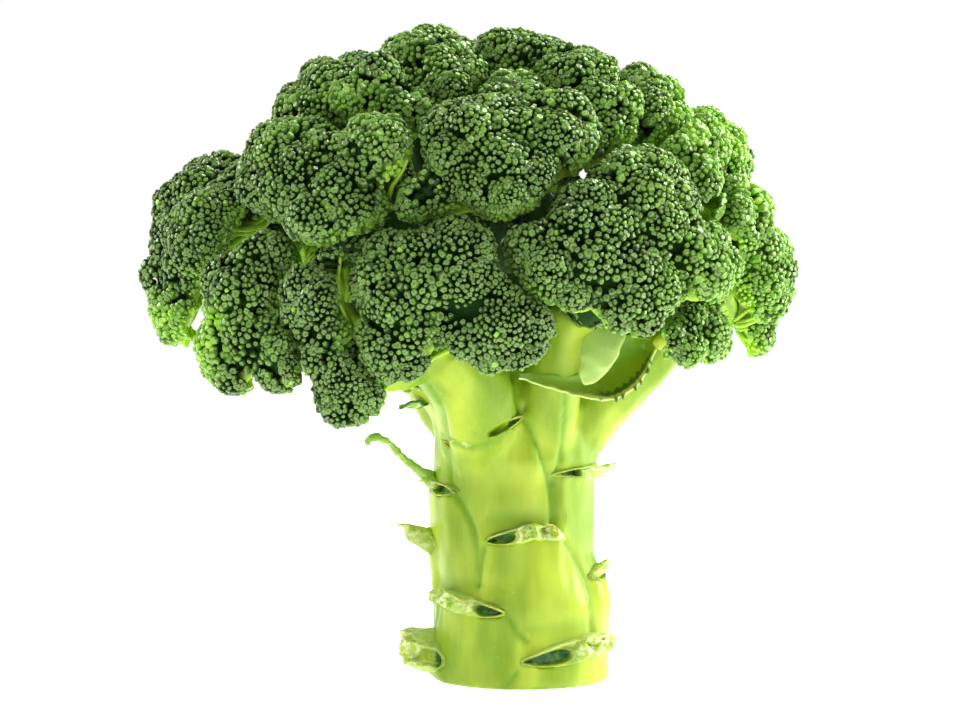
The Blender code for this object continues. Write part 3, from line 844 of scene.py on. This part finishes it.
def scar_paint(stalk):
    """Cut leaf base: skin outside, a paler cut lip, dark green painted shade inside the recessed slots, and
    glassy pale rags.
    """
    gloss = {"Specular_IOR_Level": 0.55, "Coat_Weight": 0.15}
    paint = Paint("cut leaf base", Subsurface_Weight=0.3, Subsurface_Scale=0.004, **gloss)
    patches = paint.noise(180.0, 3.0).between(0.35, 0.7)
    tone = paint.mix(patches, stalk.deep, stalk.pale)
    tone = paint.mix(paint.mark("lip") * 0.7, tone, (0.62, 0.76, 0.3, 1))
    veins = paint.noise(600.0, 5.0).between(0.44, 0.6)
    rag = paint.mix(veins, (0.34, 0.52, 0.05, 1), (0.66, 0.76, 0.34, 1))
    tone = paint.mix(paint.mark("rag"), tone, rag)
    # Painted shade: the slots are painted dark green where they are recessed.
    slot = paint.mix(paint.noise(500.0).between(0.4, 0.7), (0.02, 0.1, 0.008, 1), (0.08, 0.26, 0.015, 1))
    paint.feed("Base Color", paint.mix(paint.mark("slot"), tone, slot))
    paint.feed("Roughness", 0.44 - paint.mark("rag") * 0.26)
    paint.bump(veins, 0.0002, 0.5)
    return paint.material


def spur_skin(route, level=(0, 0, 1)):
    """A pointed tongue: ellipses that taper along a curve through the route's points, tall along the level
    axis, with its faces outwards."""
    stations, corners = 30, 20
    path = curve_through(route, stations) * MM
    angle = np.linspace(0, 2 * np.pi, corners, endpoint=False)[:, None]
    along = unit(np.gradient(path[:, :3], axis=0))
    depth = unit(np.cross(along, level))[:, None]
    tall = np.cross(depth[:, 0], along)[:, None]
    ellipses = np.cos(angle) * path[:, None, 4:] * depth + np.sin(angle) * path[:, None, 3:4] * tall
    rings = path[:, None, :3] + ellipses
    rings = rings + 0.25 * MM * ripple(rings.reshape(-1, 3), 4 * MM, 9).reshape(stations, corners, 1)
    return facing_out(lofted(rings[None], path[:1, :3], path[-1:, :3]))


def scar_lens(name, share):
    """(middle height, half height) of a scar's lens at shares of its arc."""
    _, _, low, high, _ = scar_span(name)
    level = np.interp(share, np.linspace(0, 1, 60), curve_through([[m] for m in SCARS[name][2]], 60)[:, 0])
    bow = np.sin(np.pi * (0.02 + 0.96 * share))
    if name == "front":
        return low + (high - low) * level, 2.0 * MM * bow**0.5
    return low + (high - low) * (0.15 + 0.75 * level), (high - low) * 0.42 * bow**0.6


def scar_span(name):
    return FRONT_SCAR if name == "front" else scar_extent("leaf_stub_" + name)


def slot_mask(name, share, across):
    """1 in a scar's slots, each a lens whose half height follows a flattened arch, and 0 outside."""
    mask = np.zeros_like(across)
    for start, stop in SCARS[name][0]:
        along = np.clip(1 - np.abs((share - (start + stop) / 2) / ((stop - start) / 2)) ** 2.5, 0, 1) ** 0.5
        opening = 0.62 * along - np.abs(across + 0.08)
        mask = np.maximum(mask, smooth_step(0.0, 0.16, opening) * (along > 0))
    return mask


def placed(turn, reach, height):
    """Points at angles turn (n,) round the stalk, and at distances reach (n, m) from its axis."""
    return np.stack([np.sin(turn)[:, None] * reach, -np.cos(turn)[:, None] * reach, height], -1)


def scar_skin(name, stalk_tree, stalk_points, seed):
    """A lens let into the stalk's skin. Across it, from the lower edge to the upper, the face starts under
    the skin, comes up flush with the shield below, drops into the slots, rises in a thin lip and goes under
    again. Rags are a glassy swelling with ridged folds. More points close it behind."""
    first, last, _, _, out = scar_span(name)
    rag_span = SCARS[name][1]
    stations, front, behind = 120, 46, 12
    share = np.linspace(0, 1, stations)
    turn = first + (last - first) * (0.01 + 0.98 * share)
    middle, half = scar_lens(name, share)
    across = np.concatenate([np.linspace(-1, 1, front), np.linspace(1, -1, behind + 2)[1:-1]])
    height = middle[:, None] + half[:, None] * across
    reach = np.full(height.shape, 24 * MM)
    for _ in range(2):
        near, _ = nearest(stalk_tree, placed(turn, reach, height).reshape(-1, 3), 3)
        reach = round_stalk(stalk_points[near].mean(1))[1].reshape(height.shape)
    slot = slot_mask(name, share[:, None], np.tile(across, (stations, 1)))
    rag = np.zeros_like(height)
    if rag_span:
        start, stop = rag_span
        rag = plateau(start - 0.02, start + 0.1, stop - 0.08, stop + 0.04, share)[:, None]
        rag = rag * smooth_step(0.0, 0.4, 1 - np.abs(across))
    edge = smooth_step(0.0, 0.24, 1 - np.abs(across))
    lip = bell(across - 0.74, 0.15) * np.sin(np.pi * (0.02 + 0.96 * share))[:, None] ** 0.5
    stand = -0.9 * (1 - edge) + edge * (0.25 + 0.95 * lip)
    stand = stand * (1 - slot) - 1.9 * slot
    room = np.clip(out - reach, 0.6 * MM, None) / MM
    points = placed(turn, reach, height)
    if name == "front":
        torn = 0.4 * rag
    else:
        folds = 1 - 1.6 * np.abs(ripple(points.reshape(-1, 3) * (1.0, 1.0, 0.7), 5.5 * MM, seed))
        crumbs = ripple(points.reshape(-1, 3), 2.0 * MM, seed + 1).reshape(rag.shape)
        swelling = 0.6 * np.minimum(room, 11.0) + 0.35 * np.minimum(room, 5.0) * folds.reshape(rag.shape)
        torn = rag * (swelling + 0.14 * crumbs)
    stand = stand + torn
    stand[:, front:] = -2.6
    axis = np.stack([np.sin(turn), -np.cos(turn), np.zeros(stations)], -1)[:, None]
    points = points + (stand * MM)[..., None] * axis
    lift = 0.9 + 0.5 * ripple(points.reshape(-1, 3), 5 * MM, seed + 2).reshape(rag.shape)
    points[..., 2] += (rag * lift) * MM
    points[..., 2] = np.maximum(points[..., 2], 0.1 * MM)
    start, end = points[0].mean(0), points[-1].mean(0)
    skin = facing_out(lofted(points[None], start[None], end[None]))
    marks = {"slot": slot * (stand < 0), "rag": rag * (1 - slot), "lip": lip * (1 - slot)}
    marks = {mark: np.r_[values.ravel(), 0, 0] for mark, values in marks.items()}
    if name in SPURS:
        spur = spur_skin(SPURS[name])
        skin = joined([skin, spur])
        tip = np.linspace(0, 0.5, len(spur.points))
        extra = {"slot": 0 * tip, "rag": 0.3 + tip, "lip": 0 * tip}
        marks = {mark: np.r_[values, extra[mark]] for mark, values in marks.items()}
    return skin, marks


def facing_out(skin):
    """The skin with its faces turned round if its signed volume is negative."""
    middle = skin.points.mean(0)
    volume = 0.0
    for block in skin.faces:
        for corner in range(1, block.shape[1] - 1):
            a, b, c = (skin.points[block[:, i]] - middle for i in (0, corner, corner + 1))
            volume += dot(a, np.cross(b, c)).sum()
    if volume < 0:
        skin.faces = [block[:, ::-1] for block in skin.faces]
        skin.places = [block[:, ::-1] for block in skin.places]
    return skin


class BROCCOLI_OT_scars(bpy.types.Operator):
    """Cut each leaf base: its lip, its slots and its rags"""

    bl_idname = "broccoli.scars"
    bl_label = "Cut leaf bases"

    def execute(self, context):
        material = scar_paint(context.scene.broccoli_stalk)
        mesh = bpy.data.objects["stalk_skin"].data
        skin_points = points_of(mesh)
        angle, radius = round_stalk(skin_points)
        points = skin_points[(skin_points[:, 2] < 74 * MM) & (radius > 12 * MM)]
        tree = tree_of(points)
        pushed = np.zeros(len(skin_points))
        for seed, name in enumerate(SCARS):
            skin, marks = scar_skin(name, tree, points, 40 + 3 * seed)
            node = "leaf_stub_" + name
            nodes = [node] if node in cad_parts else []
            make_piece("leaf_base_" + name, skin, material, nodes, marks)
            first, last, *_ = scar_span(name)
            share = turned(angle - first) / (last - first)
            middle, half = scar_lens(name, np.clip(share, 0, 1))
            across = (skin_points[:, 2] - middle) / half
            inside = slot_mask(name, share, across) * (share > 0) * (share < 1) * (radius > 12 * MM)
            pushed = np.maximum(pushed, smooth_step(0, 0.3, inside))
        inwards = skin_points * (1, 1, 0) / np.maximum(radius, MM)[:, None]
        mesh.vertices.foreach_set("co", (skin_points - inwards * pushed[:, None] * SLOT_ROOM).ravel())
        mesh.update()
        return {"FINISHED"}


# ---- leaves


# The scoop of the torn leaf, as points (x, y, z) in millimetres: its near rim from the thin left end round to
# the right, and its far edge under the florets.
LEAF_RIM = [
    (-1, -27.2, 77.6), (8, -27.6, 75.2), (16, -27, 73.4),
    (22.5, -25.4, 73.2), (28.5, -23, 77), (32.6, -19, 84.6),
]
LEAF_BACK = [
    (-1, -25.6, 78.8), (8, -24.4, 78.2), (15, -22.4, 78.8),
    (18.5, -19, 83), (24, -16.4, 87.5), (32.2, -16.6, 87),
]
# The stripped rib from the stalk to its hooked end, as (x, y, z, radius) in millimetres.
RIB_ROUTE = [
    (-22.6, -3, 51.3, 1.7), (-26, -3.6, 53.2, 1.15), (-30, -4.4, 56.6, 0.85), (-33.4, -5.2, 60.2, 0.8),
    (-36.6, -6, 61.6, 1.05), (-38.4, -6.2, 61, 0.9), (-38.9, -6, 59.8, 0.6),
]
# The short cut rib before the scoop, from the top down, as (x, y, z, half width, half depth) in millimetres.
CUT_RIB = [
    (21.0, -23, 91.5, 4.9, 1.0), (20.0, -26, 87.5, 4.8, 1.3), (18.2, -28.8, 82.8, 4.2, 1.2),
    (16.0, -30.2, 78.6, 2.6, 0.9), (14.8, -30.8, 76.6, 0.5, 0.4),
]
# The scraps: root and tip as (x, y, z) and width, in millimetres, how dark the edge is, and the seed.
SCRAPS = {
    "scrap_upper": ((-25, -9.5, 74), (-31.4, -12.6, 76), 5.5, 0.1, 3),
    "scrap_lower": ((-23.4, -6, 70.4), (-30.6, -8.4, 69), 6.0, 0.9, 8),
}


class BROCCOLI_PG_leaf(bpy.types.PropertyGroup):
    """Sizes and colours of the torn leaves."""

    thickness: length("Thickness", "Leaf blade", 0.55)
    blade: colour("Blade", "Upper face of the leaf", 0.2, 0.42, 0.015)
    edge: colour("Edge", "Thick pale rim and ribs", 0.5, 0.7, 0.2)
    frill: colour("Frill", "Dark frilled edge", 0.03, 0.13, 0.015)


def leaf_paint(leaf):
    """Leaf blade: fine veins on green, a pale thick rim and a dark frill."""
    paint = Paint("leaf blade", Specular_IOR_Level=0.45, Subsurface_Weight=0.2, Subsurface_Scale=0.003)
    veins = paint.noise(1.0, 4.0, paint.stretched((500, 500, 160))).between(0.5, 0.66)
    green = paint.mix(veins * 0.4, leaf.blade, (0.25, 0.46, 0.05, 1))
    tone = paint.mix(paint.mark("pale"), green, leaf.edge)
    paint.feed("Base Color", paint.mix(paint.mark("frill"), tone, leaf.frill))
    paint.feed("Roughness", 0.5 - paint.mark("pale") * 0.1)
    paint.bump(veins, 0.00015, 0.4)
    return paint.material


def sheet_piece(name, grid, marks, leaf, material, node):
    """A leaf from a grid of points (rows, columns, 3), given the blade's thickness by Solidify."""
    rows, columns, _ = grid.shape
    row, column = (index.ravel() for index in np.mgrid[: rows - 1, : columns - 1])
    corner = row * columns + column
    quads = np.stack([corner, corner + 1, corner + columns + 1, corner + columns], -1)
    skin = Skin(grid.reshape(-1, 3), [quads])
    piece = make_piece(name, skin, material, [node], {k: v.ravel() for k, v in marks.items()})
    wall = piece.modifiers.new("blade", "SOLIDIFY")
    wall.thickness = leaf.thickness
    wall.offset = 0
    return piece


def curled_leaf(leaf, material):
    """The scoop: straight lines from the near rim to the far edge, bowed back and down in a half sine, with
    the rim rolled forward and toothed."""
    rows, columns = 150, 44
    rim = curve_through(LEAF_RIM, rows)[:, None] * MM
    back = curve_through(LEAF_BACK, rows)[:, None] * MM
    share = np.linspace(0, 1, columns)[None, :, None]
    along = np.linspace(0, 1, rows)[:, None, None]
    grid = rim + (back - rim) * share
    deep = np.sin(np.pi * share) * smooth_step(0.1, 0.6, along) * (1 - smooth_step(0.93, 1, along))
    grid = grid + deep * np.array([0.6, 4.2, -0.6]) * MM
    roll = (1 - smooth_step(0, 0.16, share)) * smooth_step(0.05, 0.4, along)
    grid = grid + roll * np.array([0.2, -1.3, -0.5]) * MM
    teeth = np.maximum(np.sin(along * 90 + np.sin(along * 41) * 1.5), 0) * (1 - smooth_step(0, 0.08, share))
    toothed = smooth_step(0.45, 0.55, along) * (1 - smooth_step(0.92, 0.98, along))
    grid = grid + teeth * toothed * np.array([0.25, -0.5, -0.7]) * MM
    grid = grid + 0.12 * MM * ripple(grid.reshape(-1, 3), 3 * MM, 5).reshape(rows, columns, 1)
    flat = np.ones((rows, columns, 1))
    pale = flat * (1 - smooth_step(0.05, 0.09, share)) + flat * (1 - smooth_step(0.2, 0.5, along)) * 0.3
    inner = smooth_step(0.05, 0.07, share) * (1 - smooth_step(0.1, 0.16, share + 0.03 * np.sin(along * 110)))
    frill = flat * np.maximum((1 - smooth_step(0.02, 0.05, share)) * teeth, inner) * toothed
    marks = {"pale": np.clip(pale, 0, 1), "frill": np.clip(frill * 1.5, 0, 1)}
    return sheet_piece("leaf_scoop", grid, marks, leaf, material, "curled_leaf")


def leaf_scrap(name, leaf, material):
    """A torn scrap: a tongue from root to tip, widest a third of the way out, its edges frilled by waves."""
    root, tip, width, dark, seed = SCRAPS[name]
    rows, columns = 40, 26
    root, tip = np.array(root) * MM, np.array(tip) * MM
    out = np.linspace(0, 1, rows)[:, None, None]
    across = np.linspace(-1, 1, columns)[None, :, None]
    side = unit(np.cross(tip - root, (0.2, 0.3, 1.0)))
    shape = np.sin(np.pi * (0.18 + 0.8 * out)) ** 0.7
    grid = root + (tip - root) * out + side * across * shape * width * MM / 2
    lift = 0.5 * np.sin(7 * out + 3 * across) * across**2 + 0.5 * out**2
    grid = grid + lift * np.array([0, 0, 1.3]) * MM
    grid = grid + 0.3 * MM * ripple(grid.reshape(-1, 3), 3 * MM, seed).reshape(rows, columns, 1)
    edge = smooth_step(0.55, 0.95, np.abs(across)) * np.ones((rows, 1, 1))
    marks = {"pale": (1 - smooth_step(0.1, 0.9, out)) * (1 - edge) * 0.8, "frill": edge * dark}
    return sheet_piece(name, grid, marks, leaf, material, "leaf_" + name)


class BROCCOLI_OT_leaves(bpy.types.Operator):
    """Tear the left-over leaves: the scoop across the limbs, the cut rib, two scraps and a stripped rib"""

    bl_idname = "broccoli.leaves"
    bl_label = "Leaves"

    def execute(self, context):
        leaf = context.scene.broccoli_leaf
        material = leaf_paint(leaf)
        curled_leaf(leaf, material)
        rib = spur_skin(CUT_RIB, level=(1, 0, 0))
        plain = np.zeros(len(rib.points))
        make_piece("cut_rib", rib, material, marks={"pale": plain + 1, "frill": plain})
        for name in SCRAPS:
            leaf_scrap(name, leaf, material)
        route = curve_through(RIB_ROUTE, 60)
        rib = tubes(route[None, :, :3] * MM, route[None, :, 3] * MM, 14, np.array([[0.0, 0.0, 1.0]]))
        rib.points = rib.points + 0.12 * MM * ripple(rib.points, 2 * MM, 4)[:, None]
        frill = smooth_step(-33 * MM, -39 * MM, rib.points[:, 0]) * 0.3
        marks = {"pale": np.full(len(rib.points), 0.35), "frill": frill}
        make_piece("leaf_rib", rib, material, ["stripped_leaf_rib"], marks)
        return {"FINISHED"}


# ---- studio


class BROCCOLI_PG_studio(bpy.types.PropertyGroup):
    """Camera and lights."""

    lens: FloatProperty(name="Lens", description="Focal length in mm", default=135.0, min=20, max=300)
    distance: length("Distance", "From the camera to the head", 909)
    elevation: FloatProperty(
        name="Elevation", description="Camera above the horizon", default=np.radians(3), unit="ROTATION"
    )
    aim: spot("Aim", "What the camera looks at", -10.5, 0, 80.75)
    air: FloatProperty(name="Air", description="Light from all round", default=0.2, min=0, max=2)
    floor: colour("Floor", "Colour of the floor", 0.93, 0.93, 0.93)


# The square lamps: place and size in metres, watts, and colour.
LAMPS = {
    "key": ((-0.35, -0.6, 0.8), 0.3, 3.6, (1, 0.98, 0.95)),
    "back": ((0.75, 0.15, 0.35), 0.35, 10.0, (1, 1, 0.93)),
    "top": ((0.35, 0.35, 0.9), 0.4, 11.0, (1, 1, 0.95)),
    "rim": ((-0.7, 0.3, 0.45), 0.35, 5.0, (1, 1, 0.95)),
}
FLOOR_HALF = 40.0
FLOOR_LEVEL = -0.2 * MM


def area_light(name, aim):
    """The square lamp of that name, turned to aim."""
    place, size, watts, tone = LAMPS[name]
    lamp = bpy.data.lights.new(name, "AREA")
    lamp.size = size
    lamp.energy = watts
    lamp.color = tone
    holder = bpy.data.objects.new(name, lamp)
    holder.location = place
    holder.rotation_euler = (Vector(place) - Vector(aim)).to_track_quat("Z", "Y").to_euler()
    bpy.context.scene.collection.objects.link(holder)


class BROCCOLI_OT_studio(bpy.types.Operator):
    """Set the floor, the lights and the camera"""

    bl_idname = "broccoli.studio"
    bl_label = "Studio"

    def execute(self, context):
        studio = context.scene.broccoli_studio
        scene = context.scene
        scene.view_settings.view_transform = "Standard"
        aim = Vector(studio.aim)
        back = Vector((0, -np.cos(studio.elevation), np.sin(studio.elevation)))
        camera = bpy.data.objects.new("camera", bpy.data.cameras.new("camera"))
        camera.data.lens = studio.lens
        camera.location = aim + back * studio.distance
        camera.rotation_euler = back.to_track_quat("Z", "Y").to_euler()
        camera.data.clip_start = 0.01
        scene.collection.objects.link(camera)
        scene.camera = camera
        world = bpy.data.worlds.new("studio air")
        world.use_nodes = True
        tree = world.node_tree
        rays = tree.nodes.new("ShaderNodeLightPath")
        glow = tree.nodes.new("ShaderNodeMapRange")
        glow.inputs["To Min"].default_value = studio.air
        glow.inputs["To Max"].default_value = 1.0
        tree.links.new(rays.outputs["Is Camera Ray"], glow.inputs["Value"])
        tree.nodes["Background"].inputs["Color"].default_value = (1, 1, 1, 1)
        tree.links.new(glow.outputs[0], tree.nodes["Background"].inputs["Strength"])
        scene.world = world
        half = FLOOR_HALF
        corners = [(-half, -half), (half, -half), (half, half), (-half, half)]
        mesh = bpy.data.meshes.new("floor")
        mesh.from_pydata([(x, y, FLOOR_LEVEL) for x, y in corners], [], [(0, 1, 2, 3)])
        paint = Paint("floor", Base_Color=tuple(studio.floor), Roughness=0.8, Specular_IOR_Level=0.0)
        paint.shader.inputs["Emission Color"].default_value = (1, 1, 1, 1)
        paint.shader.inputs["Emission Strength"].default_value = 1.02 - 0.93 * studio.air
        mesh.materials.append(paint.material)
        floor = bpy.data.objects.new("floor", mesh)
        scene.collection.objects.link(floor)
        for name in LAMPS:
            area_light(name, aim)
        return {"FINISHED"}


# ---- add-on


class BROCCOLI_PT_head(bpy.types.Panel):
    """Lists the head's parts."""

    bl_idname = "BROCCOLI_PT_head"
    bl_label = "Broccoli head"
    bl_space_type = "VIEW_3D"
    bl_region_type = "UI"
    bl_category = "Broccoli"

    def draw(self, context):
        for name in GROUPS:
            box = self.layout.box()
            settings = getattr(context.scene, "broccoli_" + name)
            for field in settings.__annotations__:
                box.prop(settings, field)
        for operator in OPERATORS:
            self.layout.operator(operator.bl_idname)


GROUPS = {
    "crown": BROCCOLI_PG_crown,
    "stalk": BROCCOLI_PG_stalk,
    "leaf": BROCCOLI_PG_leaf,
    "studio": BROCCOLI_PG_studio,
}
OPERATORS = (
    BROCCOLI_OT_florets, BROCCOLI_OT_stalk, BROCCOLI_OT_scars, BROCCOLI_OT_leaves, BROCCOLI_OT_studio,
)
CLASSES = (*GROUPS.values(), *OPERATORS, BROCCOLI_PT_head)


def register():
    for cls in CLASSES:
        bpy.utils.register_class(cls)
    for name, group in GROUPS.items():
        setattr(bpy.types.Scene, "broccoli_" + name, PointerProperty(type=group))


def unregister():
    for name in GROUPS:
        delattr(bpy.types.Scene, "broccoli_" + name)
    for cls in reversed(CLASSES):
        bpy.utils.unregister_class(cls)


def main():
    register()
    bpy.ops.broccoli.florets()
    bpy.ops.broccoli.stalk()
    bpy.ops.broccoli.scars()
    bpy.ops.broccoli.leaves()
    bpy.ops.broccoli.studio()


if __name__ == "__main__":
    main()
